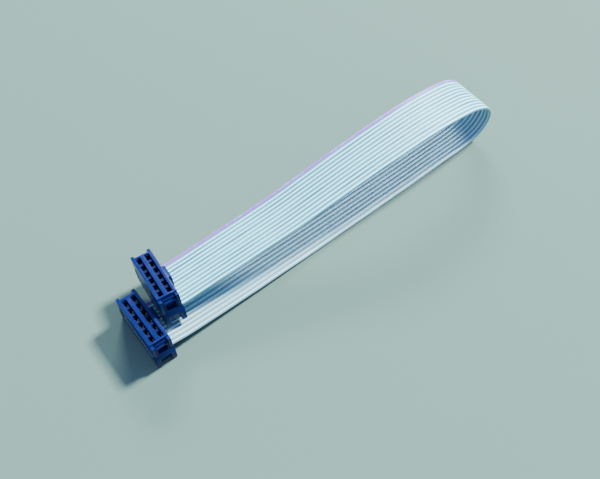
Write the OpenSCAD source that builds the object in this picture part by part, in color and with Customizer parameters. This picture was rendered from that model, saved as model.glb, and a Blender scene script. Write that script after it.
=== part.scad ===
// Flat ribbon cable with a two-row pin socket pressed on each end, looped back on itself.
// Millimetres, +Z up.  The origin is the middle of the lower socket's underside, +X runs along the
// cable from the sockets to the loop, and +Y runs across it towards the marked edge.

/* [Ribbon] */
// Number of wires in the ribbon, two for each column of pins
ways = 12; // [8:2:12]
// Distance from one wire to the next
wire_pitch = 1.27; // [1.2:0.01:1.4]
// Thickness over the ribs
ribbon_t = 0.9; // [0.75:0.05:1.1]
// Thickness of the web between two ribs
web_t = 0.5; // [0.3:0.05:0.6]
// Diameter of a stranded wire
wire_d = 0.38; // [0.3:0.01:0.45]

/* [Socket] */
// Distance from one pin to the next, along and across
pin_pitch = 2.54; // [2.4:0.01:2.8]
// Width of the housing, along the cable
housing_w = 5.7; // [5.5:0.1:7]
// Height of the mating face above the underside of the cover
socket_h = 11.5; // [10.8:0.1:14]
// Height of the ribbon's middle above the underside of the cover
grip_z = 3.5; // [3.2:0.1:4.2]
// Length of the raised mating face beyond the end columns of pins
face_margin = 1.6; // [1.2:0.1:2.5]
// Length of the corner ribs beyond the raised mating face
rib_l = 1.2; // [1:0.1:1.6]
// Thickness of the corner ribs
rib_t = 0.9; // [0.7:0.05:1]
// How far the corner ribs stop below the mating face
rib_drop = 0.5; // [0.2:0.1:1.5]

/* [Mating face] */
// Size of a pin opening along the row
hole_l = 1.65; // [1.2:0.05:1.9]
// Size of a pin opening across the row
hole_w = 1.4; // [1:0.05:1.5]
// Depth of the shallow groove that holds a row of openings
groove_d = 0.45; // [0.2:0.05:0.6]
// Depth of a pin opening, from the groove to the narrow throat
mouth_d = 0.6; // [0.4:0.1:1]
// Side of the square throat that guides a pin
throat = 0.95; // [0.8:0.05:1.1]

/* [Polarising key] */
// Width of the key along the row
key_l = 4.3; // [3.6:0.1:4.4]
// How far the key stands out
key_out = 1.1; // [0.8:0.1:1.3]
// Height of the key's lower end above the cover's underside
key_low = 5.3; // [4.8:0.1:6]
// How far the key stops below the mating face
key_drop = 1.3; // [0.5:0.1:2]

/* [Cover] */
// Width of the cover, along the cable
cover_w = 5.9; // [5.7:0.1:7]
// How far the cover's ends stand out beyond the housing's
cover_end = 0.55; // [0.3:0.05:1]
// Height of the cover's end block at its outer face
end_h = 4.4; // [4:0.1:4.8]
// Height of the end block where it meets the latch leg
shoulder_h = 5.8; // [5.4:0.1:6]
// Width of the arch in the end block
arch_w = 3.1; // [2.4:0.1:3.6]
// Depth of the arch from the end face inwards
arch_d = 1.3; // [0.8:0.1:1.4]
// Width of a latch leg
leg_w = 3.6; // [3:0.1:3.8]
// Gap between the housing's end and a latch leg
leg_gap = 0.15; // [0.05:0.05:0.3]
// Thickness of a latch leg at its tip
leg_t = 0.5; // [0.4:0.05:0.6]
// How much thicker the latch leg is around its window
leg_step = 0.5; // [0.3:0.05:0.6]
// How far the leg's tip stops below the mating face
leg_drop = 0.95; // [0.6:0.05:1.2]
// Height of the leg's thick part above the underside
leg_step_z = 9.8; // [9.6:0.1:10.2]
// Lower edge of the leg's window
window_low = 6.2; // [6.1:0.1:6.8]
// Upper edge of the leg's window
window_high = 9.2; // [8.8:0.1:9.4]
// Width of the leg's window
window_w = 2.8; // [2:0.1:3]

/* [Contacts] */
// Thickness of the contact's sheet metal
fork_t = 0.3; // [0.2:0.02:0.34]
// Width of the fork that bites the wire
fork_w = 1; // [0.9:0.02:1.1]
// How far the fork's tips reach below the ribbon's middle
fork_reach = 1.3; // [1:0.1:1.6]
// Thickness of a spring beam
beam_t = 0.22; // [0.18:0.02:0.28]
// Width of a spring beam
beam_w = 1; // [0.7:0.05:1.1]
// Half the distance between the beams at their root
beam_half = 0.58; // [0.5:0.02:0.62]
// Half the distance between the beams where they meet the pin
beam_grip = 0.27; // [0.22:0.01:0.32]

/* [Upper socket] */
// Place of the middle of its underside
upper_at = [8.4, 5.5, 4];
// Turn about Z
upper_yaw = -5.2; // [-5.6:0.1:-4.8]
// Turn about its own length of cable
upper_roll = -7.9; // [-8.2:0.1:-7.6]

/* [Hidden] */
// gap left between pieces that lie face to face
fit = 0.02;
// looser gap around parts that slide in when the cover is pressed on
slide = 0.1;
// cuts run this far past the faces they open
past = 1;
// bars sunk into the piece they belong to reach this far into it
sunk = 0.5;

cols = ways / 2;
row_x = pin_pitch / 2;
face_l = (cols - 1) * pin_pitch + 2 * face_margin;
housing_l = face_l + 2 * rib_l;
ribbon_w = ways * wire_pitch;
rib_top = socket_h - rib_drop;
housing_z = grip_z + ribbon_t / 2 + fit;
cover_z = grip_z - ribbon_t / 2 - fit;
cover_l = housing_l + 2 * cover_end;
end_in = max(ribbon_w, face_l) / 2 + fit;
leg_top = socket_h - leg_drop;
leg_in = face_l / 2 + leg_gap;
leg_out = leg_in + leg_t;
groove_past = 0.25;
groove_l = (cols - 1) * pin_pitch + hole_l + 2 * groove_past;
throat_z = socket_h - groove_d - mouth_d;
throat_h = 0.5;
root_low = housing_z + 0.2;
root_h = 0.4;
fork_top = root_low + root_h;
base_t = 0.3;
cavity_z = fork_top;
cavity_w = 2 * (beam_half + beam_t / 2) + 2 * slide;
cavity_l = beam_w + 2 * slide;
beam_top = throat_z - throat_h - slide;
bend_h = 1.5;
grip_drop = 1.1;
tip_half = beam_half - 0.05;
slit = wire_d + 2 * fit;
slit_top = wire_d / 2 / cos(30) + fit;
tip_cut = 0.3;
key_cut = 0.4;
catch_w = window_w - 4 * slide;
catch_out = leg_out - slide / 2;
catch_flat = 0.5;
catch_rise = 1.2;
foot_cut = 0.3;
arch_lip = 0.3;

BLUE = [0.10, 0.22, 0.58];
DEEP_BLUE = [0.08, 0.18, 0.50];
GREY = [0.80, 0.85, 0.87];
COPPER = [0.80, 0.45, 0.25];
TIN = [0.75, 0.74, 0.70];

// height of the ribbon's middle where it lies on the surface
rest_z = ribbon_t / 2 + fit / 2;

// The ribbon's middle line between the two sockets: place and tilt across, chosen by hand.
ROUTE = [
    [17, 5.3, 8.1, -8.5], [26, 4.7, 9.5, -8.5], [37, 3.9, 11.3, -8], [48, 3.2, 13.1, -7],
    [59, 2.7, 15.3, -5.5], [70, 2.2, 17.5, -4], [80, 1.8, 19.2, -2.5], [90, 1.6, 20.3, -1],
    [99, 1.5, 20.7, 0], [106, 1.5, 20.4, 0.5], [111, 1.5, 19.8, 0.5], [115.2, 1.6, 18.8, 0.5],
    [118.6, 1.6, 17.4, 0.5], [121.2, 1.7, 15.7, 0], [123.2, 1.8, 13.6, 0], [124.5, 1.9, 11.4, -0.5],
    [125, 1.9, 9, -1], [124.8, 2, 6.8, -1.5], [123.9, 2, 4.7, -1.5], [122.3, 2, 2.9, -1.5],
    [120.1, 2, 1.6, -1], [117.4, 1.9, 0.8, -0.5], [114, 1.8, rest_z + 2 * fit, 0], [104, 1.6, rest_z, 0],
    [92, 1.3, rest_z, 0], [80, 1.1, rest_z, 0], [68, 0.9, rest_z, 0], [56, 0.7, 0.6, 0],
    [44, 0.5, 1, 0], [33, 0.3, 1.4, 0], [23, 0.2, 1.8, 0], [15, 0.1, 2.3, 0], [9, 0, 2.8, 0]
];

function two(n) = str(n < 10 ? "0" : "", n);
function numbered(stem) = [for (k = [1:ways]) str(stem, two(k))];

// ---------------------------------------------------------------- the ribbon's line

function unit(v) = v / norm(v);

// v turned about a unit axis that it is square to
function turned(v, axis, a) = v * cos(a) + cross(axis, v) * sin(a);

// the direction across the ribbon: level, square to the line t, then tilted about it
function across(t, tilt) = turned(unit([0, 1, 0] - t * t[1]), t, tilt);

function xyz(p) = [p[0], p[1], p[2]];

// unit directions of the upper socket's own axes
upper_x = [cos(upper_yaw), sin(upper_yaw), 0];
upper_y = across(upper_x, upper_roll);
upper_z = cross(upper_x, upper_y);
upper_grip = upper_at + grip_z * upper_z;
lower_grip = [0, 0, grip_z];
grip_x = cover_w / 2;

// every ring as [place, direction, tilt]; the four held by the sockets lie square in them
function free_ring(i) =
    let (
        before = i == 0 ? upper_grip + grip_x * upper_x : xyz(ROUTE[i - 1]),
        after = i == len(ROUTE) - 1 ? lower_grip + [grip_x, 0, 0] : xyz(ROUTE[i + 1])
    )
    [xyz(ROUTE[i]), unit(unit(xyz(ROUTE[i]) - before) + unit(after - xyz(ROUTE[i]))), ROUTE[i][3]];

RINGS = concat(
    [[upper_grip - grip_x * upper_x, upper_x, upper_roll],
     [upper_grip + grip_x * upper_x, upper_x, upper_roll]],
    [for (i = [0:len(ROUTE) - 1]) free_ring(i)],
    [[lower_grip + [grip_x, 0, 0], [-1, 0, 0], 0],
     [lower_grip - [grip_x, 0, 0], [-1, 0, 0], 0]]
);

// a section point [along the width, through the thickness] placed at a ring
function on_ring(ring, q) =
    let (side = across(ring[1], ring[2])) ring[0] + q[0] * side + q[1] * cross(ring[1], side);

// ---------------------------------------------------------------- the ribbon's section

// distance of wire k (from 1) from the ribbon's middle, positive towards the marked edge
function wire_y(k) = ((ways + 1) / 2 - k) * wire_pitch;

// six-sided outline of wire k, flat towards its neighbours
function wire_outline(k, d) =
    let (r = d / 2, w = r / cos(30))
    [for (a = [30:60:330]) [wire_y(k) + w * cos(a), w * sin(a)]];

// outline of one rib's cell, in step with wire_outline: web, crest, web above, then below
function rib_cell(k) =
    let (y = wire_y(k), h = wire_pitch / 2, w = web_t / 2, c = ribbon_t / 2)
    [[y + h, w], [y, c], [y - h, w], [y - h, -w], [y, -c], [y + h, -w]];

// wire outline starting at the same corner as rib_cell: the hexagon's corners at 30, 90, 150...
function tunnel(k) = wire_outline(k, wire_d + 2 * fit);

// the outside of the whole ribbon: above from the marked edge across, then back below
top_line = concat([rib_cell(1)[0]], [for (k = [1:ways], j = [1, 2]) rib_cell(k)[j]]);
bottom_line = concat([rib_cell(ways)[3]], [for (k = [ways:-1:1], j = [4, 5]) rib_cell(k)[j]]);
OUTSIDE = concat(top_line, bottom_line);

// two triangles for the side between corner a-b of one ring and the same corners of the next
function wall(a, b, step) = [[a, b, b + step], [a, b + step, a + step]];

// a solid prism-like sweep of one outline along all rings
module sweep(outline) {
    n = len(outline);
    rings = len(RINGS);
    points = [for (r = RINGS, q = outline) on_ring(r, q)];
    sides = [for (i = [0:rings - 2], j = [0:n - 1], f = wall(i * n + j, i * n + (j + 1) % n, n)) f];
    start = [[for (j = [n - 1:-1:0]) j]];
    end = [[for (j = [0:n - 1]) (rings - 1) * n + j]];
    polyhedron(points, concat(start, sides, end), convexity = 10);
}

// the ribbed insulation with a tunnel for each wire
module insulation_body() {
    n = len(OUTSIDE);
    tunnels = [for (k = [1:ways], q = tunnel(k)) q];
    m = n + len(tunnels);
    last = (len(RINGS) - 1) * m;
    points = [for (r = RINGS, q = concat(OUTSIDE, tunnels)) on_ring(r, q)];
    outer = [for (i = [0:len(RINGS) - 2], j = [0:n - 1], f = wall(i * m + j, i * m + (j + 1) % n, m)) f];
    inner = [
        for (i = [0:len(RINGS) - 2], k = [0:ways - 1], j = [0:5],
             f = wall(i * m + n + 6 * k + (j + 1) % 6, i * m + n + 6 * k + j, m)) f
    ];
    // corner j of rib k's cell in the list of outside points
    cell = [for (k = [0:2:2 * ways - 2]) [k, k + 1, k + 2, n - 3 - k, n - 2 - k, n - 1 - k]];
    cap = [
        for (k = [0:ways - 1], j = [0:5],
             f = [[cell[k][j], n + 6 * k + j, n + 6 * k + (j + 1) % 6],
                  [cell[k][j], n + 6 * k + (j + 1) % 6, cell[k][(j + 1) % 6]]]) f
    ];
    end = [for (f = cap) [last + f[0], last + f[2], last + f[1]]];
    polyhedron(points, concat(outer, inner, cap, end), convexity = 20);
}

// ---------------------------------------------------------------- where things sit

// the children, drawn for a socket standing at the origin, put in the upper socket's place
module at_upper() {
    translate(upper_at) rotate([upper_roll, 0, upper_yaw]) children();
}

// contact k grips wire k: odd wires in the row away from the loop, even ones in the near row
function contact_x(k) = k % 2 == 1 ? -row_x : row_x;
function column_y(k) = ((cols + 1) / 2 - ceil(k / 2)) * pin_pitch;

module centred_box(size, z_low, z_high) {
    translate([-size[0] / 2, -size[1] / 2, z_low]) cube([size[0], size[1], z_high - z_low]);
}

// a bar on both ends: drawn at +Y, repeated at -Y
module both_ends() {
    for (s = [0, 1]) mirror([0, s, 0]) children();
}

// an outline in Y and Z, pushed out to a width along X
module across_x(width) {
    translate([-width / 2, 0, 0]) rotate([90, 0, 90]) linear_extrude(width) children();
}

// ---------------------------------------------------------------- housing

module pin_opening(k) {
    x = contact_x(k);
    y = column_y(k);
    translate([x, y, 0]) {
        centred_box([hole_w, hole_l], throat_z, socket_h + past);
        centred_box([throat, throat], cavity_z, socket_h);
        centred_box([cavity_w, cavity_l], cavity_z, throat_z - throat_h);
    }
    // slot for the fork's root, from the cavity down to the ribbon
    fork_y = wire_y(k) - y;
    low = min(fork_y - fork_w / 2, -beam_w / 2) - slide;
    high = max(fork_y + fork_w / 2, beam_w / 2) + slide;
    translate([x - fork_t / 2 - fit, y + low, housing_z - past])
        cube([fork_t + 2 * fit, high - low, cavity_z - housing_z + past + fit]);
}

module key() {
    top = socket_h - key_drop;
    x = housing_w / 2;
    translate([0, key_l / 2, 0]) rotate([90, 0, 0]) linear_extrude(key_l)
        polygon([[x - sunk, key_low], [x + key_out - key_cut, key_low], [x + key_out, key_low + key_cut],
                 [x + key_out, top - key_cut], [x + key_out - key_cut, top], [x - sunk, top]]);
}

// the catch inside the leg's window: flat above, sloping below
module catch() {
    y = face_l / 2;
    top = window_high - slide;
    low = window_low + catch_rise;
    across_x(catch_w) polygon([[y - sunk, low], [y - sunk, top], [catch_out, top],
                               [catch_out, top - catch_flat], [y, low]]);
}

module housing() {
    difference() {
        union() {
            centred_box([housing_w, face_l], housing_z, socket_h);
            both_ends() for (s = [-1, 1])
                translate([s * (housing_w - rib_t) / 2, (face_l + rib_l - sunk) / 2, 0])
                    centred_box([rib_t, rib_l + sunk], shoulder_h + slide, rib_top);
            both_ends() catch();
            key();
        }
        for (k = [1:ways]) pin_opening(k);
        for (s = [-1, 1]) translate([s * row_x, 0, 0])
            centred_box([hole_w, groove_l], socket_h - groove_d, socket_h + past);
    }
}

// ---------------------------------------------------------------- cover

// section of one end in Y and Z: end block, sloping shoulder and the stepped latch leg
module end_section() {
    polygon([[end_in, 0], [cover_l / 2 - foot_cut, 0], [cover_l / 2, foot_cut], [cover_l / 2, end_h],
             [leg_out + leg_step, shoulder_h], [leg_out + leg_step, leg_step_z],
             [leg_out, leg_step_z], [leg_out, leg_top], [leg_in, leg_top], [leg_in, shoulder_h],
             [end_in, cover_z]]);
}

module cover() {
    difference() {
        union() {
            centred_box([cover_w, 2 * (end_in + sunk)], 0, cover_z);
            both_ends() across_x(leg_w) end_section();
            both_ends() across_x(cover_w) intersection() {
                end_section();
                square([cover_l, shoulder_h]);
            }
        }
        both_ends() {
            // arch between the two feet
            translate([0, (cover_l - arch_d + past) / 2, 0])
                centred_box([arch_w, arch_d + past], -past, end_h - arch_lip);
            // window for the catch
            translate([0, leg_out, 0])
                centred_box([window_w, 2 * (leg_t + past)], window_low, window_high);
        }
        // pockets for the fork tips
        for (k = [1:ways]) translate([contact_x(k), wire_y(k), 0])
            centred_box([fork_t + 2 * slide, fork_w + 2 * slide], grip_z - fork_reach - slide, grip_z);
    }
}

// ---------------------------------------------------------------- contacts

// one spring beam in X and Z, on the +X side of the pin
module beam_outline() {
    bend = fork_top + bend_h;
    grip = beam_top - grip_drop;
    polygon([[beam_half - beam_t / 2, fork_top], [beam_half + beam_t / 2, fork_top],
             [beam_half + beam_t / 2, bend], [beam_grip + beam_t, grip],
             [tip_half, beam_top], [tip_half - beam_t, beam_top],
             [beam_grip, grip], [beam_half - beam_t / 2, bend]]);
}

module contact(k) {
    x = contact_x(k);
    y = column_y(k);
    fork_y = wire_y(k) - y;
    low = grip_z - fork_reach;
    translate([x, y, 0]) {
        // fork that bites wire k, and its root
        across_x(fork_t) difference() {
            union() {
                translate([fork_y, 0]) polygon([
                    [-fork_w / 2, low + tip_cut], [-fork_w / 2 + tip_cut, low], [fork_w / 2 - tip_cut, low],
                    [fork_w / 2, low + tip_cut], [fork_w / 2, fork_top], [-fork_w / 2, fork_top]]);
                translate([min(fork_y, 0) - beam_w / 2, root_low]) square([abs(fork_y) + beam_w, root_h]);
            }
            translate([fork_y - slit / 2, low - past]) square([slit, past + fork_reach + slit_top]);
        }
        // cross piece and the two spring beams
        centred_box([2 * beam_half + beam_t, beam_w], fork_top, fork_top + base_t);
        for (s = [0, 1]) mirror([s, 0, 0])
            translate([0, beam_w / 2, 0]) rotate([90, 0, 0]) linear_extrude(beam_w) beam_outline();
    }
}

// ---------------------------------------------------------------- nodes

// windows that the forks of one socket cut through the ribbon
module fork_windows() {
    for (k = [1:ways]) translate([contact_x(k), wire_y(k), 0])
        centred_box([fork_t + 2 * fit, fork_w + 2 * fit], grip_z - ribbon_t, grip_z + ribbon_t);
}

module ribbon_insulation() {
    color(GREY) difference() {
        insulation_body();
        fork_windows();
        at_upper() fork_windows();
    }
}

module conductor(k) { color(COPPER) sweep(wire_outline(k, wire_d)); }
module socket_housing() { color(BLUE) housing(); }
module socket_cover() { color(DEEP_BLUE) cover(); }
module socket_contact(k) { color(TIN) contact(k); }

ribbon_insulation();
socket_housing();  // lower_housing
socket_cover();  // lower_cover
at_upper() socket_housing();  // upper_housing
at_upper() socket_cover();  // upper_cover
for (k = [1:ways]) {
    conductor(k);
    socket_contact(k);
    at_upper() socket_contact(k);
}
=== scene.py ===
"""The finished look of a looped flat ribbon cable with a two-row pin socket on each end.

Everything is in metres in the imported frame: the origin is the middle of the lower socket's
underside, +X runs along the cable from the sockets to the loop, +Y runs across it towards the
marked edge, and +Z is up.
"""

import logging
import math
from dataclasses import dataclass
from enum import Enum
from typing import Any, ClassVar

import bmesh
import bpy
import numpy as np
from mathutils import Matrix, Vector

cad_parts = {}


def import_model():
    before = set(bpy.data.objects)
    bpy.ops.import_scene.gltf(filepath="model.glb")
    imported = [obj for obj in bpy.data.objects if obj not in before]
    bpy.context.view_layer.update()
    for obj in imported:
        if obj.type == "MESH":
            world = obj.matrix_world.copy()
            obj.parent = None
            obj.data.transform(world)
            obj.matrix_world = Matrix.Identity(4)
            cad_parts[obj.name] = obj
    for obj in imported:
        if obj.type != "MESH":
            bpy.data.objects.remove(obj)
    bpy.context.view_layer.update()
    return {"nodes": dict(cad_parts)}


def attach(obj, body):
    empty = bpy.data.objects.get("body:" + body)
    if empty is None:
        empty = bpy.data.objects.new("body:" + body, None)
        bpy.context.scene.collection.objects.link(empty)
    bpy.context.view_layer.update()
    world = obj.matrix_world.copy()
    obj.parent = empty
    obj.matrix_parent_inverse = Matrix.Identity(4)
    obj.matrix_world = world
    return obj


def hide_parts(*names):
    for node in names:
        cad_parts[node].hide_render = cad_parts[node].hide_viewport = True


log = logging.getLogger("ribbon_cable")
MM = 0.001
Array = np.ndarray
Colour = tuple[float, float, float, float]
Place = tuple[float, float, float]
Parts = dict[str, bpy.types.Object]
Output = bpy.types.NodeSocket


# ------------------------------------------------------------------ small helpers


def unit(v: Array) -> Array:
    """Scales each vector in the last axis to length one."""
    return v / np.linalg.norm(v, axis=-1, keepdims=True)


def across_of(direction: Array, tilt_deg: Array) -> Array:
    """The direction across the ribbon at each place along it.

    The +Y direction made square to the line, then turned about the line by the tilt.

    Args:
        direction: Unit directions along the line, one per row.
        tilt_deg: Tilt about the line at each place, in degrees.

    Returns:
        Unit directions across the ribbon, one per row.
    """
    level = unit(np.array([0.0, 1.0, 0.0]) - direction * direction[..., 1:2])
    a = np.radians(np.asarray(tilt_deg))[..., None]
    return level * np.cos(a) + np.cross(direction, level) * np.sin(a)


def shade_of(colour: Colour, share: float) -> Colour:
    """The colour with its red, green and blue multiplied by a share."""
    return tuple(share * c for c in colour[:3]) + (1.0,)


def mesh_object(name: str, points: Array, faces: Array) -> bpy.types.Object:
    """Makes a smooth mesh object at the origin from whole arrays.

    Args:
        name: Name of the piece.
        points: Corner positions in metres, one per row.
        faces: Four corner numbers per row.

    Returns:
        The new object, linked to the scene.
    """
    mesh = bpy.data.meshes.new(name)
    mesh.from_pydata(points.tolist(), [], faces.tolist())
    mesh.validate()
    mesh.shade_smooth()
    piece = bpy.data.objects.new(name, mesh)
    bpy.context.scene.collection.objects.link(piece)
    return piece


# ------------------------------------------------------------------ node groups


class Nodes:
    """Places and joins shader nodes in one tree, with few words."""

    def __init__(self, tree: bpy.types.NodeTree) -> None:
        """Keeps the node tree to work in."""
        self.tree = tree

    def fill(self, node: bpy.types.Node, links: dict[Any, Any]) -> None:
        """Joins or sets a node's inputs.

        Args:
            node: The node.
            links: Input name or number to an output to join, or to a plain value to set.
        """
        for key, value in links.items():
            if isinstance(value, bpy.types.NodeSocket):
                self.tree.links.new(value, node.inputs[key])
            else:
                node.inputs[key].default_value = value

    def add(self, kind: str, links: dict[Any, Any] | None = None, **settings: Any) -> bpy.types.Node:
        """Adds one node.

        Args:
            kind: The node's type name, such as ShaderNodeTexNoise.
            links: Input name or number to an output to join, or to a plain value to set.
            settings: Properties of the node.

        Returns:
            The new node.
        """
        node = self.tree.nodes.new(kind)
        for key, value in settings.items():
            setattr(node, key, value)
        self.fill(node, links or {})
        return node

    def math(self, operation: str, a: Any, b: Any = 0.0, c: Any = 0.0, clamp: bool = False) -> Output:
        """Adds a Math node.

        Args:
            operation: The operation's name.
            a: First value or output.
            b: Second value or output.
            c: Third value or output, where the operation takes one.
            clamp: Whether the result is kept between 0 and 1.

        Returns:
            Its output.
        """
        node = self.add("ShaderNodeMath", {0: a, 1: b, 2: c}, operation=operation, use_clamp=clamp)
        return node.outputs[0]

    def span(
        self, value: Output, low: float, high: float, to_low: float = 0.0, to_high: float = 1.0
    ) -> Output:
        """Maps a value from one range to another with soft ends.

        Args:
            value: The output to map.
            low: Lower end of the range it comes from.
            high: Upper end of the range it comes from.
            to_low: Result at the lower end.
            to_high: Result at the upper end.

        Returns:
            The mapped value.
        """
        limits = {0: value, 1: low, 2: high, 3: to_low, 4: to_high}
        return self.add("ShaderNodeMapRange", limits, interpolation_type="SMOOTHSTEP").outputs[0]

    def blend(self, mask: Output, a: Any, b: Any) -> Output:
        """Mixes two colours.

        Args:
            mask: 0 gives the first colour and 1 the second.
            a: First colour or output.
            b: Second colour or output.

        Returns:
            The mixed colour.
        """
        return self.add("ShaderNodeMix", {0: mask, 6: a, 7: b}, data_type="RGBA").outputs[2]

    def noise(self, place: Output, scale: Any, detail: float = 2.0) -> Output:
        """Adds a noise texture.

        Args:
            place: Where it is read.
            scale: Its scale, a value or an output.
            detail: How many finer layers it has.

        Returns:
            Its grey value.
        """
        links = {"Vector": place, "Scale": scale, "Detail": detail}
        return self.add("ShaderNodeTexNoise", links).outputs[0]

    def bump(self, height: Output, strength: float, distance: float) -> Output:
        """Adds a Bump node.

        Args:
            height: The height, from 0 to 1.
            strength: Its strength, from 0 to 1.
            distance: The height in metres that 1 stands for.

        Returns:
            The bumped normal.
        """
        links = {"Height": height, "Strength": strength, "Distance": distance}
        return self.add("ShaderNodeBump", links).outputs[0]

    def mark(self, name: str) -> Output:
        """Reads a number that the mesh's own points carry, by its name."""
        return self.add("ShaderNodeAttribute", attribute_name=name).outputs["Fac"]


def new_group(
    name: str, inputs: dict[str, float], outputs: tuple[str, ...]
) -> tuple[bpy.types.NodeTree, Nodes, bpy.types.Node, bpy.types.Node]:
    """Starts a shader node group with a vector input called Place and named numbers.

    Args:
        name: The group's name.
        inputs: Name and usual value of each number that it takes.
        outputs: Name of each number that it puts out.

    Returns:
        The group, a node maker for it, its input node and its output node.
    """
    group = bpy.data.node_groups.new(name, "ShaderNodeTree")
    sockets = group.interface
    sockets.new_socket("Place", in_out="INPUT", socket_type="NodeSocketVector")
    for key, value in inputs.items():
        sockets.new_socket(key, in_out="INPUT", socket_type="NodeSocketFloat").default_value = value
    for key in outputs:
        sockets.new_socket(key, in_out="OUTPUT", socket_type="NodeSocketFloat")
    make = Nodes(group)
    return group, make, make.add("NodeGroupInput"), make.add("NodeGroupOutput")


class SharedEffects:
    """The effects that more than one finish uses, each a node group built once.

    Attributes:
        FINER_GRAIN: How many times finer the grain's second layer is than its first.
        COARSE_SHARE: Share of the coarse layer in the grain's height.
        GRAIN_SPAN: Values of the coarse layer between which the grain's mask rises.
        FINER_BLOOM: How many times finer the noise is that breaks the bloom up.
        BLOOM_SPAN: Values of the broken bloom between which its mask rises.
    """

    FINER_GRAIN = 8.0
    COARSE_SHARE = 0.65
    GRAIN_SPAN = (0.35, 0.65)
    FINER_BLOOM = 7.0
    BLOOM_SPAN = (0.18, 0.42)

    def __init__(self) -> None:
        """Builds the groups."""
        self.grain = self._grain()
        self.handling = self._handling()

    def _grain(self) -> bpy.types.NodeTree:
        """Builds a fine surface grain.

        Two layers of noise, one finer than the other, added together; Height runs from
        about 0 to 1 and Mask is the coarse layer alone.

        Returns:
            The group, with Place and Scale in, Height and Mask out.
        """
        group, make, inp, out = new_group("surface_grain", {"Scale": 4000.0}, ("Height", "Mask"))
        place, scale = inp.outputs["Place"], inp.outputs["Scale"]
        coarse = make.noise(place, scale)
        fine = make.noise(place, make.math("MULTIPLY", scale, self.FINER_GRAIN), detail=1.0)
        fine_part = make.math("MULTIPLY", fine, 1.0 - self.COARSE_SHARE)
        height = make.math("MULTIPLY_ADD", coarse, self.COARSE_SHARE, fine_part)
        make.fill(out, {"Height": height, "Mask": make.span(coarse, *self.GRAIN_SPAN)})
        return group

    def _handling(self) -> bpy.types.NodeTree:
        """Builds the soft uneven bloom that handling leaves on plastic and metal.

        Broad noise broken up by finer noise, kept where their product is high.

        Returns:
            The group, with Place, Scale and Amount in, and Mask out.
        """
        group, make, inp, out = new_group("handling_bloom", {"Scale": 200.0, "Amount": 0.5}, ("Mask",))
        place, scale = inp.outputs["Place"], inp.outputs["Scale"]
        broad = make.noise(place, scale)
        broken = make.noise(place, make.math("MULTIPLY", scale, self.FINER_BLOOM), detail=3.0)
        mask = make.span(make.math("MULTIPLY", broad, broken), *self.BLOOM_SPAN)
        make.fill(out, {"Mask": make.math("MULTIPLY", mask, inp.outputs["Amount"], clamp=True)})
        return group

    def grain_in(self, make: Nodes, scale: float) -> bpy.types.Node:
        """Places the grain in a material.

        Args:
            make: The material's node maker.
            scale: Scale of the grain, per metre.

        Returns:
            The group's node, which reads Object coordinates.
        """
        place = make.add("ShaderNodeTexCoord").outputs["Object"]
        return make.add("ShaderNodeGroup", {"Place": place, "Scale": scale}, node_tree=self.grain)

    def bloom_in(self, make: Nodes, scale: float, amount: float) -> Output:
        """Places the handling bloom in a material.

        Args:
            make: The material's node maker.
            scale: Scale of the bloom, per metre.
            amount: Its strength, from 0 to 1.

        Returns:
            The bloom's mask, which reads Object coordinates.
        """
        place = make.add("ShaderNodeTexCoord").outputs["Object"]
        links = {"Place": place, "Scale": scale, "Amount": amount}
        return make.add("ShaderNodeGroup", links, node_tree=self.handling).outputs["Mask"]


# ------------------------------------------------------------------ finishes


def new_material(name: str) -> tuple[bpy.types.Material, Nodes, bpy.types.Node]:
    """Starts a material with one Principled shader joined to its output.

    Args:
        name: The material's name.

    Returns:
        The material, a node maker for it and the shader node.
    """
    material = bpy.data.materials.new(name)
    material.use_nodes = True
    material.node_tree.nodes.clear()
    make = Nodes(material.node_tree)
    shader = make.add("ShaderNodeBsdfPrincipled")
    make.add("ShaderNodeOutputMaterial", {"Surface": shader.outputs[0]})
    return material, make, shader


class Metal(Enum):
    """The two bare metals of the cable: name and base colour."""

    COPPER = ("stranded_copper", (0.83, 0.42, 0.24, 1.0))
    TIN = ("tinned_bronze", (0.42, 0.41, 0.39, 1.0))


@dataclass(frozen=True)
class MetalFinish:
    """Bare metal with a fine grain and a dull bloom.

    Attributes:
        metal: Which metal.
        roughness: Roughness of clean metal.
        rougher: Roughness that the grain adds.
        dulled: Share of its brightness that dulled metal keeps.
        grain: Scale of the grain, per metre.
        bloom: Scale of the bloom, per metre.
        handling: Strength of the bloom.
        bump: Strength of the bump.
        relief: Height of the bump, in metres.
    """

    metal: Metal
    roughness: float = 0.28
    rougher: float = 0.16
    dulled: float = 0.62
    grain: float = 5000.0
    bloom: float = 900.0
    handling: float = 0.7
    bump: float = 0.15
    relief: float = 0.02 * MM

    def build(self, effects: SharedEffects) -> bpy.types.Material:
        """Builds the material.

        Args:
            effects: The shared node groups.

        Returns:
            The material.
        """
        name, colour = self.metal.value
        material, make, shader = new_material(name)
        grain = effects.grain_in(make, self.grain)
        bloom = effects.bloom_in(make, self.bloom, self.handling)
        rough = make.span(grain.outputs["Mask"], 0.0, 1.0, self.roughness, self.roughness + self.rougher)
        make.fill(
            shader,
            {
                "Base Color": make.blend(bloom, colour, shade_of(colour, self.dulled)),
                "Roughness": rough,
                "Normal": make.bump(grain.outputs["Height"], self.bump, self.relief),
                "Metallic": 1.0,
            },
        )
        return material


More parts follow.
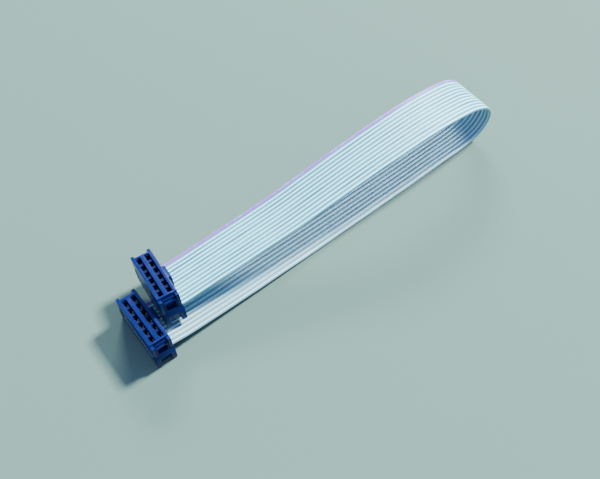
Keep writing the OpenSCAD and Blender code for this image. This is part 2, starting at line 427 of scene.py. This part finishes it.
@dataclass(frozen=True)
class MouldedBlue:
    """Glossy blue moulded plastic, as on the housings and their covers.

    It reads the number called recess on the mesh's points: 1 inside the outer walls, as in
    the openings, and 0 elsewhere. There it paints shade: a darker colour stands for the
    shade in the grooves and openings.

    Attributes:
        name: The material's name.
        colour: Colour of the plastic.
        worn: Colour where handling has dulled it.
        painted_recess_shade: Painted shade, the darker colour inside the outer walls that
            stands for the shade in the grooves and openings.
        roughness: Roughness of the clean moulding.
        rougher: Roughness that handling adds.
        hollow_rougher: Roughness that is added there.
        specular: Strength of its mirror reflection.
        grain: Scale of the grain, per metre.
        bloom: Scale of the bloom, per metre.
        handling: Strength of the bloom.
        bump: Strength of the bump.
        relief: Height of the bump, in metres.
    """

    name: str
    colour: Colour = (0.0032, 0.0085, 0.0720, 1.0)
    worn: Colour = (0.0048, 0.0120, 0.0880, 1.0)
    painted_recess_shade: Colour = (0.0012, 0.0030, 0.0300, 1.0)
    roughness: float = 0.30
    rougher: float = 0.14
    hollow_rougher: float = 0.45
    specular: float = 0.14
    grain: float = 3200.0
    bloom: float = 260.0
    handling: float = 0.6
    bump: float = 0.22
    relief: float = 0.03 * MM

    def build(self, effects: SharedEffects) -> bpy.types.Material:
        """Builds the material.

        Args:
            effects: The shared node groups.

        Returns:
            The material.
        """
        material, make, shader = new_material(self.name)
        grain = effects.grain_in(make, self.grain)
        bloom = effects.bloom_in(make, self.bloom, self.handling)
        # painted shade: the recess mark darkens the plastic inside the outer walls and roughens it there
        recess = make.mark("recess")
        face = make.blend(bloom, self.colour, self.worn)
        rough = make.span(bloom, 0.0, self.handling, self.roughness, self.roughness + self.rougher)
        make.fill(
            shader,
            {
                "Base Color": make.blend(recess, face, self.painted_recess_shade),
                "Roughness": make.math("MULTIPLY_ADD", recess, self.hollow_rougher, rough, clamp=True),
                "Normal": make.bump(grain.outputs["Height"], self.bump, self.relief),
                "Specular IOR Level": self.specular,
            },
        )
        return material


@dataclass(frozen=True)
class RibbonPvc:
    """Pale blue-grey extruded insulation with a violet mark along wire one.

    It reads two marks on the mesh's points. One is called lay: millimetres across from the
    middle, millimetres along, and depth below the ribs' crests from 0 to 1, by which the webs
    take a painted shade. The other is called inside: 1 on the face inside the loop, and 0 on
    the face outside it; the inside face takes shaded copies of the colours.

    Attributes:
        colour: Colour of a rib's crest on the face outside the loop.
        valley_shade: Painted shade, the darker colour of the webs between the ribs there, which
            stands for the shade in the creases.
        inner_crest_shaded: Shaded copy of the crest colour, painted for the face inside the loop,
            which lies in the loop's shade.
        inner_web_shaded: Shaded copy of the webs' colour there, painted the same way.
        web_shade_depth: Depth at which the webs' painted shade is full.
        mark: Colour of the marked edge.
        mark_from: Where the mark starts, in millimetres across from the middle.
        mark_blur: Width over which it starts, in millimetres.
        mark_cover: How well the mark covers, where it is clean and where it is handled.
        stretch: How the streaks' pattern is scaled across, along and in depth.
        streak_scale: Scale of the streaks across, per millimetre.
        streak_span: Values of the streaks between which they show.
        streaking: How strongly they fade the colour.
        faded: Share of its brightness that a faded crest keeps.
        wander: How far the mark's edge wanders with the streaks, in millimetres.
        roughness: Roughness of clean insulation.
        rougher: Roughness that handling adds.
        specular: Strength of its mirror reflection.
        grain: Scale of the grain, per metre.
        bloom: Scale of the bloom, per metre.
        handling: Strength of the bloom.
        streak_height: Share of the streaks in the bump.
        grain_height: Share of the grain in the bump.
        bump: Strength of the bump.
        relief: Height of the bump, in metres.
    """

    colour: Colour = (0.32, 0.92, 1.00, 1.0)
    valley_shade: Colour = (0.04, 0.10, 0.13, 1.0)
    inner_crest_shaded: Colour = (0.30, 0.68, 0.80, 1.0)
    inner_web_shaded: Colour = (0.19, 0.155, 0.15, 1.0)
    web_shade_depth: float = 0.75
    mark: Colour = (0.25, 0.09, 0.44, 1.0)
    mark_from: float = 6.42
    mark_blur: float = 0.14
    mark_cover: tuple[float, float] = (0.96, 0.78)
    stretch: Place = (1.0, 0.016, 0.3)
    streak_scale: float = 3.2
    streak_span: tuple[float, float] = (0.3, 0.7)
    streaking: float = 0.35
    faded: float = 0.93
    wander: float = 0.12
    roughness: float = 0.36
    rougher: float = 0.12
    specular: float = 0.32
    grain: float = 2600.0
    bloom: float = 90.0
    handling: float = 0.5
    streak_height: float = 0.8
    grain_height: float = 0.4
    bump: float = 0.08
    relief: float = 0.04 * MM

    def build(self, effects: SharedEffects) -> bpy.types.Material:
        """Builds the material.

        Args:
            effects: The shared node groups.

        Returns:
            The material.
        """
        material, make, shader = new_material("ribbon_pvc")
        lay = make.add("ShaderNodeAttribute", attribute_name="lay").outputs["Vector"]
        parts = make.add("ShaderNodeSeparateXYZ", {0: lay})
        across, depth = parts.outputs["X"], parts.outputs["Z"]
        inside = make.mark("inside")
        grain = effects.grain_in(make, self.grain)
        bloom = effects.bloom_in(make, self.bloom, self.handling)

        # streaks that the extruder draws out along the cable
        drawn = make.add("ShaderNodeVectorMath", {0: lay, 1: self.stretch}, operation="MULTIPLY")
        streaks = make.noise(drawn.outputs[0], self.streak_scale, detail=3.0)

        # painted shade: the face inside the loop takes shaded copies of the crest and web colours
        crest = make.blend(inside, self.colour, self.inner_crest_shaded)
        web = make.blend(inside, self.valley_shade, self.inner_web_shaded)
        # painted shade: the webs are darker than the crests, by their depth below them
        base = make.blend(make.span(depth, 0.0, self.web_shade_depth), crest, web)
        fade = make.math("MULTIPLY", make.span(streaks, *self.streak_span), self.streaking)
        base = make.blend(fade, base, shade_of(self.colour, self.faded))

        wobble = make.math("MULTIPLY_ADD", streaks, self.wander, across)
        edge = make.span(wobble, self.mark_from, self.mark_from + self.mark_blur)
        mark = make.math("MULTIPLY", edge, make.span(bloom, 0.0, self.handling, *self.mark_cover))

        rough = make.span(bloom, 0.0, self.handling, self.roughness, self.roughness + self.rougher)
        fine = make.math("MULTIPLY", grain.outputs["Height"], self.grain_height)
        height = make.math("MULTIPLY_ADD", streaks, self.streak_height, fine)
        make.fill(
            shader,
            {
                "Base Color": make.blend(mark, base, self.mark),
                "Roughness": rough,
                "Normal": make.bump(height, self.bump, self.relief),
                "Specular IOR Level": self.specular,
            },
        )
        return material


@dataclass(frozen=True)
class FloorPaper:
    """Matt grey-green background paper.

    Attributes:
        colour: Colour of the paper.
        paler: Brightness of its paler patches, as a share of the paper's.
        bloom: Scale of the patches, per metre.
        handling: Strength of the patches.
        roughness: Roughness of the paper.
        specular: Strength of its mirror reflection.
    """

    colour: Colour = (0.118, 0.170, 0.131, 1.0)
    paler: float = 1.02
    bloom: float = 6.0
    handling: float = 0.25
    roughness: float = 0.9
    specular: float = 0.1

    def build(self, effects: SharedEffects) -> bpy.types.Material:
        """Builds the material.

        Args:
            effects: The shared node groups.

        Returns:
            The material.
        """
        material, make, shader = new_material("background_paper")
        patches = effects.bloom_in(make, self.bloom, self.handling)
        make.fill(
            shader,
            {
                "Base Color": make.blend(patches, self.colour, shade_of(self.colour, self.paler)),
                "Roughness": self.roughness,
                "Specular IOR Level": self.specular,
            },
        )
        return material


# ------------------------------------------------------------------ studio


@dataclass(frozen=True)
class ViewCamera:
    """The camera, which looks down on the cable from beyond its sockets.

    Attributes:
        place: Where it stands, in metres.
        heading_deg: Way it looks, from +X towards +Y.
        down_deg: How far it looks down.
        roll_deg: Turn about its own line of sight.
        lens: Focal length in millimetres.
        sensor: Width of the sensor in millimetres.
        nearest: Nearest distance that it sees, in metres.
    """

    place: Place = (-0.0180, -0.0860, 0.1774)
    heading_deg: float = 50.68
    down_deg: float = 58.09
    roll_deg: float = 1.5
    lens: float = 41.9
    sensor: float = 36.0
    nearest: float = 0.005

    def build(self) -> bpy.types.Object:
        """Makes the camera and sets it as the scene's.

        Returns:
            The camera object.
        """
        a, d, r = (math.radians(v) for v in (self.heading_deg, self.down_deg, self.roll_deg))
        ahead = Vector((math.cos(a) * math.cos(d), math.sin(a) * math.cos(d), -math.sin(d)))
        right = ahead.cross(Vector((0, 0, 1))).normalized()
        up = right.cross(ahead)
        right, up = math.cos(r) * right + math.sin(r) * up, math.cos(r) * up - math.sin(r) * right
        data = bpy.data.cameras.new("view_camera")
        data.lens = self.lens
        data.sensor_width = self.sensor
        data.clip_start = self.nearest
        camera = bpy.data.objects.new("view_camera", data)
        turn = Matrix((right, up, -ahead)).transposed().to_4x4()
        camera.matrix_world = Matrix.Translation(Vector(self.place)) @ turn
        bpy.context.scene.collection.objects.link(camera)
        bpy.context.scene.camera = camera
        return camera


@dataclass(frozen=True)
class SoftBox:
    """One soft studio light, aimed at the cable.

    Attributes:
        name: Its name.
        heading_deg: Where it stands, from +X towards +Y.
        height_deg: How high it stands.
        distance: How far away, in metres.
        size: Width and height in metres.
        power: Watts.
        colour: Its colour.
    """

    name: str
    heading_deg: float
    height_deg: float
    distance: float
    size: tuple[float, float]
    power: float
    colour: tuple[float, float, float] = (0.84, 1.0, 1.06)

    def build(self, target: Vector) -> bpy.types.Object:
        """Makes the light.

        Args:
            target: The point that it is aimed at.

        Returns:
            The light object.
        """
        a, e = math.radians(self.heading_deg), math.radians(self.height_deg)
        out = Vector((math.cos(a) * math.cos(e), math.sin(a) * math.cos(e), math.sin(e)))
        data = bpy.data.lights.new(self.name, "AREA")
        data.shape = "RECTANGLE"
        data.size, data.size_y = self.size
        data.energy = self.power
        data.color = self.colour
        light = bpy.data.objects.new(self.name, data)
        light.location = target + self.distance * out
        light.rotation_euler = out.to_track_quat("Z", "Y").to_euler()
        bpy.context.scene.collection.objects.link(light)
        return light


@dataclass(frozen=True)
class Studio:
    """Floor, even fill light and soft boxes.

    Attributes:
        floor_half: Half the floor's side, in metres.
        fill: Colour of the even fill light.
        fill_strength: Strength of the fill.
        aim: The point that the soft boxes are aimed at, in metres.
        boxes: The soft boxes.
    """

    floor_half: float = 3.0
    fill: Colour = (0.37, 0.53, 1.0, 1.0)
    fill_strength: float = 1.25
    aim: Place = (0.04, 0.0, 0.0)
    boxes: tuple[SoftBox, ...] = (
        SoftBox("end_box", heading_deg=0.0, height_deg=47.0, distance=2.6, size=(0.42, 0.42), power=310.0),
        SoftBox("back_box", heading_deg=57.0, height_deg=29.0, distance=2.6, size=(0.90, 0.42), power=105.0),
    )

    def build(self, paper: bpy.types.Material) -> None:
        """Makes the floor, the fill and the lights.

        Args:
            paper: Finish of the floor.
        """
        half = self.floor_half
        corners = np.array([[-half, -half, 0], [half, -half, 0], [half, half, 0], [-half, half, 0]])
        floor = mesh_object("floor_paper", corners, np.array([[0, 1, 2, 3]]))
        floor.data.materials.append(paper)
        world = bpy.data.worlds.new("soft_fill")
        world.use_nodes = True
        back = world.node_tree.nodes["Background"]
        back.inputs["Color"].default_value = self.fill
        back.inputs["Strength"].default_value = self.fill_strength
        bpy.context.scene.world = world
        for soft_box in self.boxes:
            soft_box.build(Vector(self.aim))
            log.info("light %s", soft_box.name)


# ------------------------------------------------------------------ the cable


@dataclass(frozen=True)
class SocketPlace:
    """Where a socket holds the ribbon, and its own directions.

    Attributes:
        at: Middle of its underside, in metres.
        yaw_deg: Turn about Z.
        roll_deg: Turn about the ribbon's own direction in it.
        grip_z: Height of the ribbon's middle above the underside.
    """

    at: Place
    yaw_deg: float = 0.0
    roll_deg: float = 0.0
    grip_z: float = 3.5 * MM

    def axes(self) -> tuple[Array, Array, Array]:
        """The socket's own directions.

        Returns:
            X along the ribbon towards the loop, Y across it and Z out of the mating face.
        """
        yaw = math.radians(self.yaw_deg)
        x = np.array([math.cos(yaw), math.sin(yaw), 0.0])
        y = across_of(x, np.array(self.roll_deg))
        return x, y, np.cross(x, y)

    def grip(self) -> Array:
        """Middle of the ribbon where the socket holds it."""
        return np.array(self.at) + self.grip_z * self.axes()[2]


@dataclass(frozen=True)
class Ribbon:
    """The ribbed insulation, from the cut end in the upper socket to the one in the lower.

    Attributes:
        ways: Number of ribs.
        pitch: Distance from one rib to the next.
        thick: Thickness over a rib.
        web: Thickness between ribs.
        lip: How far the outermost ribs reach beyond their wires.
        lip_arc: Angles in degrees of the ellipse that closes a lip, and points along it.
        lip_least: Share of the half thickness that is left at a lip's very edge.
        lip_shade_speed: How much faster the depth mark grows on a lip than its shape gives, so
            that the edge takes more of the webs' painted shade.
        rib_points: Points of the section on each rib.
        web_round: Rounding where a rib meets the web.
        half_grip: Half the length held in a socket.
        end_back: How far the insulation's cut ends stop short of the wires'.
        step: Distance between rings of the mesh.
        upper: Place of the upper socket.
        lower: Place of the lower socket.
        ROUTE: The middle line between the sockets: metres, and the tilt across in degrees.
    """

    ways: int = 12
    pitch: float = 1.27 * MM
    thick: float = 0.9 * MM
    web: float = 0.5 * MM
    lip: float = 0.6 * MM
    lip_arc: tuple[float, float, int] = (90.0, 12.0, 8)
    lip_least: float = 0.05
    lip_shade_speed: float = 1.6
    rib_points: int = 10
    web_round: float = 0.05 * MM
    half_grip: float = 2.95 * MM
    end_back: float = 0.05 * MM
    step: float = 0.9 * MM
    upper: SocketPlace = SocketPlace((0.0084, 0.0055, 0.0040), yaw_deg=-5.2, roll_deg=-7.9)
    lower: SocketPlace = SocketPlace((0.0, 0.0, 0.0))

    ROUTE: ClassVar[tuple[tuple[float, float, float, float], ...]] = (
        (0.0170, 0.0053, 0.0081, -8.5), (0.0260, 0.0047, 0.0095, -8.5), (0.0370, 0.0039, 0.0113, -8.0),
        (0.0480, 0.0032, 0.0131, -7.0), (0.0590, 0.0027, 0.0153, -5.5), (0.0700, 0.0022, 0.0175, -4.0),
        (0.0800, 0.0018, 0.0192, -2.5), (0.0900, 0.0016, 0.0203, -1.0), (0.0990, 0.0015, 0.0207, 0.0),
        (0.1060, 0.0015, 0.0204, 0.5), (0.1110, 0.0015, 0.0198, 0.5), (0.1152, 0.0016, 0.0188, 0.5),
        (0.1186, 0.0016, 0.0174, 0.5), (0.1212, 0.0017, 0.0157, 0.0), (0.1232, 0.0018, 0.0136, 0.0),
        (0.1245, 0.0019, 0.0114, -0.5), (0.1250, 0.0019, 0.0090, -1.0), (0.1248, 0.0020, 0.0068, -1.5),
        (0.1239, 0.0020, 0.0047, -1.5), (0.1223, 0.0020, 0.0029, -1.5), (0.1201, 0.0020, 0.0016, -1.0),
        (0.1174, 0.0019, 0.0008, -0.5), (0.1140, 0.0018, 0.0005, 0.0), (0.1040, 0.0016, 0.00046, 0.0),
        (0.0920, 0.0013, 0.00046, 0.0), (0.0800, 0.0011, 0.00046, 0.0), (0.0680, 0.0009, 0.00046, 0.0),
        (0.0560, 0.0007, 0.0006, 0.0), (0.0440, 0.0005, 0.0010, 0.0), (0.0330, 0.0003, 0.0014, 0.0),
        (0.0230, 0.0002, 0.0018, 0.0), (0.0150, 0.0001, 0.0023, 0.0), (0.0090, 0.0, 0.0028, 0.0),
    )

    def rings(self) -> tuple[Array, Array, Array]:
        """Places, directions and tilts of the rings that the line passes through.

        A free ring points along the sum of the unit steps before and after it, and the two
        rings in each socket point along the socket.

        Returns:
            Places in metres, unit directions and tilts in degrees.
        """
        route = np.array(self.ROUTE)
        ux, lx = self.upper.axes()[0], -self.lower.axes()[0]
        first = [self.upper.grip() - self.half_grip * ux, self.upper.grip() + self.half_grip * ux]
        last = [self.lower.grip() - self.half_grip * lx, self.lower.grip() + self.half_grip * lx]
        places = np.vstack([first, route[:, :3], last])
        steps = unit(np.diff(places, axis=0))
        directions = np.vstack([ux, ux, unit(steps[1:-2] + steps[2:-1]), lx, lx])
        tilts = np.concatenate([[self.upper.roll_deg] * 2, route[:, 3], [0.0, 0.0]])
        return places, directions, tilts

    def centre_line(self) -> tuple[Array, Array, Array, Array]:
        """Samples the smooth middle line.

        Between two rings the line is the cubic with their places and directions at its ends,
        its end speeds the distance between them; the tilt follows the same cubic. The line
        is kept high enough for the lower edge to stay on the floor.

        Returns:
            Places, unit directions, tilts in degrees and lengths along the line.
        """
        places, directions, tilts = self.rings()
        chord = np.linalg.norm(np.diff(places, axis=0), axis=1)
        along = np.concatenate([[0.0], np.cumsum(chord)])
        count = int(along[-1] / self.step) + 1
        s = np.linspace(self.end_back, along[-1] - self.end_back, count)
        i = np.clip(np.searchsorted(along, s, side="right") - 1, 0, len(chord) - 1)
        t = ((s - along[i]) / chord[i])[:, None]
        length = chord[i][:, None]
        slope = np.gradient(tilts, along)
        # the cubic's four weights, and below them how each of them grows
        h0, h1 = 2 * t**3 - 3 * t**2 + 1, 3 * t**2 - 2 * t**3
        g0, g1 = t**3 - 2 * t**2 + t, t**3 - t**2
        k0, k1 = 6 * t**2 - 6 * t, 6 * t - 6 * t**2
        m0, m1 = 3 * t**2 - 4 * t + 1, 3 * t**2 - 2 * t
        here, there = directions[i], directions[i + 1]
        line = h0 * places[i] + h1 * places[i + 1] + length * (g0 * here + g1 * there)
        heading = unit(k0 * places[i] + k1 * places[i + 1] + length * (m0 * here + m1 * there))
        tilt = h0[:, 0] * tilts[i] + h1[:, 0] * tilts[i + 1]
        tilt += chord[i] * (g0[:, 0] * slope[i] + g1[:, 0] * slope[i + 1])
        dip = self.ways * self.pitch / 2 * np.abs(np.sin(np.radians(tilt)))
        line[:, 2] = np.maximum(line[:, 2], self.thick / 2 + dip)
        run = np.concatenate([[0.0], np.cumsum(np.linalg.norm(np.diff(line, axis=0), axis=1))])
        return line, heading, tilt, run

    def section(self) -> tuple[Array, Array, Array]:
        """Half the ribbon's section, from the marked edge to the other.

        Between the outermost wires the half thickness is the larger of a circle about the
        nearest wire and the flat web, rounded where they meet; beyond them it is a quarter
        of an ellipse that closes at the lip, where the depth grows faster than the shape so that
        the edge takes more painted shade.

        Returns:
            Distances across, half thicknesses there, and depth below the crests from 0 to 1.
        """
        outer = (self.ways - 1) / 2 * self.pitch
        edge = outer + self.lip * np.sin(np.radians(np.linspace(*self.lip_arc)))
        middle = np.linspace(outer, -outer, (self.ways - 1) * self.rib_points + 1)
        y = np.concatenate([edge, middle, -edge[::-1]])
        away = np.abs((y - outer) / self.pitch)
        d = np.abs(away - np.round(away)) * self.pitch
        r, w, soft = self.thick / 2, self.web / 2, self.web_round
        circle = np.sqrt(np.maximum(r**2 - d**2, 0.0))
        blend = np.maximum(soft - np.abs(circle - w), 0.0) ** 2 / (4 * soft)
        rib = np.maximum(circle, w) + blend
        beyond = np.clip((np.abs(y) - outer) / self.lip, 0.0, 1.0)
        lip = r * np.sqrt(np.maximum(1.0 - beyond**2, self.lip_least**2))
        half = np.where(beyond > 0, lip, rib)
        # painted shade: the depth grows faster on a lip, darkening the edge
        faster = np.where(beyond > 0, self.lip_shade_speed, 1.0)
        depth = np.clip((r - half) / (r - w) * faster, 0.0, 1.0)
        return y, half, depth

    def build(self, finish: bpy.types.Material) -> bpy.types.Object:
        """Sweeps the section along the line and closes both cut ends.

        Each ring of points is the middle line's place, plus the section's distances across
        and half thicknesses along the ring's own side and up directions. The points carry
        the marks called lay and inside, which the finish reads; a cut end counts as fully deep,
        so it takes the webs' painted shade.

        Args:
            finish: Material of the insulation.

        Returns:
            The ribbon.
        """
        line, heading, tilt, run = self.centre_line()
        side = across_of(heading, tilt)
        up = np.cross(heading, side)
        y, half, depth = self.section()
        loop_y = np.concatenate([y, y[::-1]])
        loop_z = np.concatenate([half, -half[::-1]])
        loop_depth = np.concatenate([depth, depth[::-1]])
        n, rings = len(loop_y), len(line)
        grid = line[:, None] + loop_y[:, None] * side[:, None] + loop_z[:, None] * up[:, None]
        ring, spot = np.meshgrid(np.arange(rings - 1) * n, np.arange(n), indexing="ij")
        after = (spot + 1) % n
        walls = np.stack([ring + spot, ring + after, ring + n + after, ring + n + spot], -1)
        j = np.arange(len(y) - 1)
        cap = np.stack([j, n - 1 - j, n - 2 - j, j + 1], -1)
        end = cap[:, ::-1] + (rings - 1) * n
        faces = np.vstack([walls.reshape(-1, 4), cap, end])
        ribbon = mesh_object("ribbon", grid.reshape(-1, 3), faces)
        at_cut = (np.arange(rings) % (rings - 1) == 0)[:, None]
        across = np.broadcast_to(loop_y / MM, (rings, n))
        along = np.broadcast_to(run[:, None] / MM, (rings, n))
        # painted shade: the cut ends count as fully deep, so they take the webs' dark colour
        lay = np.stack([across, along, np.where(at_cut, 1.0, loop_depth)], -1).astype(np.float32)
        inside = np.tile(np.repeat([0.0, 1.0], len(y)), rings).astype(np.float32)
        marks = ribbon.data.attributes
        marks.new("lay", "FLOAT_VECTOR", "POINT").data.foreach_set("vector", lay.ravel())
        marks.new("inside", "FLOAT", "POINT").data.foreach_set("value", inside)
        ribbon.data.materials.append(finish)
        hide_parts("ribbon_insulation")
        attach(ribbon, "root")
        log.info("ribbon: %d rings, %.1f mm long", rings, run[-1] / MM)
        return ribbon

    def declare(self) -> None:
        """Works out the middle places between the socket ends and the ribbon's free length.

        The free length leaves out what the two sockets hold; neither result is kept or used.
        """
        places = self.rings()[0][1:-1]
        float(self.centre_line()[3][-1] - 4 * self.half_grip)


# ------------------------------------------------------------------ the sockets


class Level(Enum):
    """The two sockets, by the names that their parts start with."""

    LOWER = "lower"
    UPPER = "upper"


@dataclass(frozen=True)
class PinSocket:
    """A two-row socket: housing, snapped-on cover and its contacts.

    Attributes:
        level: Which socket.
        place: Where it stands.
        edge: Width of the softened moulding edges.
        steps: Segments across such an edge.
        corner_deg: Least turn between two faces that makes an edge.
        flat_deg: Turn between two faces up to which they count as one.
        merge: Distance within which points are one.
        ways: Number of contacts.
        height: Height of its mating face above its underside.
        face: Size of the mating face, along and across the cable.
        rim: Margin that keeps the face's own edges out of the recess.
    """

    level: Level
    place: SocketPlace
    edge: float = 0.07 * MM
    steps: int = 3
    corner_deg: float = 28.0
    flat_deg: float = 0.6
    merge: float = 0.002 * MM
    ways: int = 12
    height: float = 11.5 * MM
    face: tuple[float, float] = (5.7 * MM, 15.9 * MM)
    rim: float = 0.12 * MM

    def recess(self, points: Array) -> Array:
        """Marks the points inside the socket's outer walls, as in its grooves and openings.

        In the socket's own directions, a point counts when it is under the mating face and
        inside that face's outline, both by at least the rim.

        Args:
            points: Positions in metres, one per row.

        Returns:
            1 for each such point and 0 for the others.
        """
        own = np.abs((points - np.array(self.place.at)) @ np.stack(self.place.axes(), axis=1))
        under = own[:, 2] < self.height - self.rim
        within = np.all(own[:, :2] < np.array(self.face) / 2 - self.rim, axis=1)
        return (under & within).astype(np.float32)

    def soften(self, part: str, nodes: Parts, finish: bpy.types.Material) -> bpy.types.Object:
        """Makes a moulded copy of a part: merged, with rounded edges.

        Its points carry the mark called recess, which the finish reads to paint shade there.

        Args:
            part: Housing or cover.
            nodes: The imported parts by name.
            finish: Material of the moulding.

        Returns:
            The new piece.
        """
        node = f"{self.level.value}_{part}"
        mesh = nodes[node].data.copy()
        mesh.name = f"{node}_moulding"
        work = bmesh.new()
        work.from_mesh(mesh)
        bmesh.ops.remove_doubles(work, verts=work.verts, dist=self.merge)
        bmesh.ops.dissolve_limit(
            work,
            angle_limit=math.radians(self.flat_deg),
            verts=work.verts,
            edges=work.edges,
            use_dissolve_boundaries=False,
        )
        work.to_mesh(mesh)
        work.free()
        mesh.materials.clear()
        mesh.materials.append(finish)
        mesh.shade_smooth()
        points = np.empty(3 * len(mesh.vertices), np.float32)
        mesh.vertices.foreach_get("co", points)
        # the recess mark, where the finish paints shade inside the outer walls
        painted_recess_shade = self.recess(points.reshape(-1, 3))
        mesh.attributes.new("recess", "FLOAT", "POINT").data.foreach_set("value", painted_recess_shade)
        piece = bpy.data.objects.new(f"{node}_moulding", mesh)
        bpy.context.scene.collection.objects.link(piece)
        bevel = piece.modifiers.new("soft_edges", "BEVEL")
        bevel.width = self.edge
        bevel.segments = self.steps
        bevel.limit_method = "ANGLE"
        bevel.angle_limit = math.radians(self.corner_deg)
        bevel.use_clamp_overlap = True
        bevel.harden_normals = True
        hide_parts(node)
        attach(piece, "root")
        log.info("%s: %d faces before its edges", piece.name, len(mesh.polygons))
        return piece

    def contacts(self, nodes: Parts, finish: bpy.types.Material) -> list[bpy.types.Object]:
        """Gives the contacts their metal.

        Args:
            nodes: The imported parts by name.
            finish: Material of the metal.

        Returns:
            The contacts.
        """
        found = [nodes[f"{self.level.value}_contact_{k:02d}"] for k in range(1, self.ways + 1)]
        for contact in found:
            dress(contact, finish)
        log.info("%s contacts: %d", self.level.value, len(found))
        return found

    def build(
        self,
        nodes: Parts,
        housing: bpy.types.Material,
        cover: bpy.types.Material,
        metal: bpy.types.Material,
    ) -> list[bpy.types.Object]:
        """Builds the whole socket.

        Args:
            nodes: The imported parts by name.
            housing: Material of the housing.
            cover: Material of the cover.
            metal: Material of the contacts.

        Returns:
            Its pieces.
        """
        return [
            self.soften("housing", nodes, housing),
            self.soften("cover", nodes, cover),
        ] + self.contacts(nodes, metal)


def dress(part: bpy.types.Object, finish: bpy.types.Material) -> None:
    """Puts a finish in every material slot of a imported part.

    Args:
        part: The part.
        finish: The material.
    """
    for place in part.material_slots:
        place.material = finish


def main() -> None:
    """Builds the camera, the cable, the sockets, the finishes and the studio in order."""
    logging.basicConfig(level=logging.INFO, format="%(name)s: %(message)s")
    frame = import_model()
    nodes = frame["nodes"]

    ViewCamera().build()
    effects = SharedEffects()
    ribbon_cable = Ribbon()
    ribbon = ribbon_cable.build(RibbonPvc().build(effects))

    housing = MouldedBlue("blue_housing").build(effects)
    # painted shade: the cover is the housing's blue made darker, standing for the shade on its end faces,
    # which face away from the lamps
    cover = MouldedBlue(
        "blue_cover", colour=(0.0022, 0.0058, 0.0520, 1.0), worn=(0.0032, 0.0080, 0.0640, 1.0)
    ).build(effects)
    tin = MetalFinish(Metal.TIN).build(effects)
    copper = MetalFinish(Metal.COPPER, roughness=0.35).build(effects)
    lower = PinSocket(Level.LOWER, ribbon_cable.lower).build(nodes, housing, cover, tin)
    PinSocket(Level.UPPER, ribbon_cable.upper).build(nodes, housing, cover, tin)
    for k in range(1, ribbon_cable.ways + 1):
        dress(nodes[f"conductor_{k:02d}"], copper)
    log.info("conductors: %d", ribbon_cable.ways)
    ribbon_cable.declare()

    Studio().build(FloorPaper().build(effects))

    bpy.context.view_layer.update()


if __name__ == "__main__":
    main()
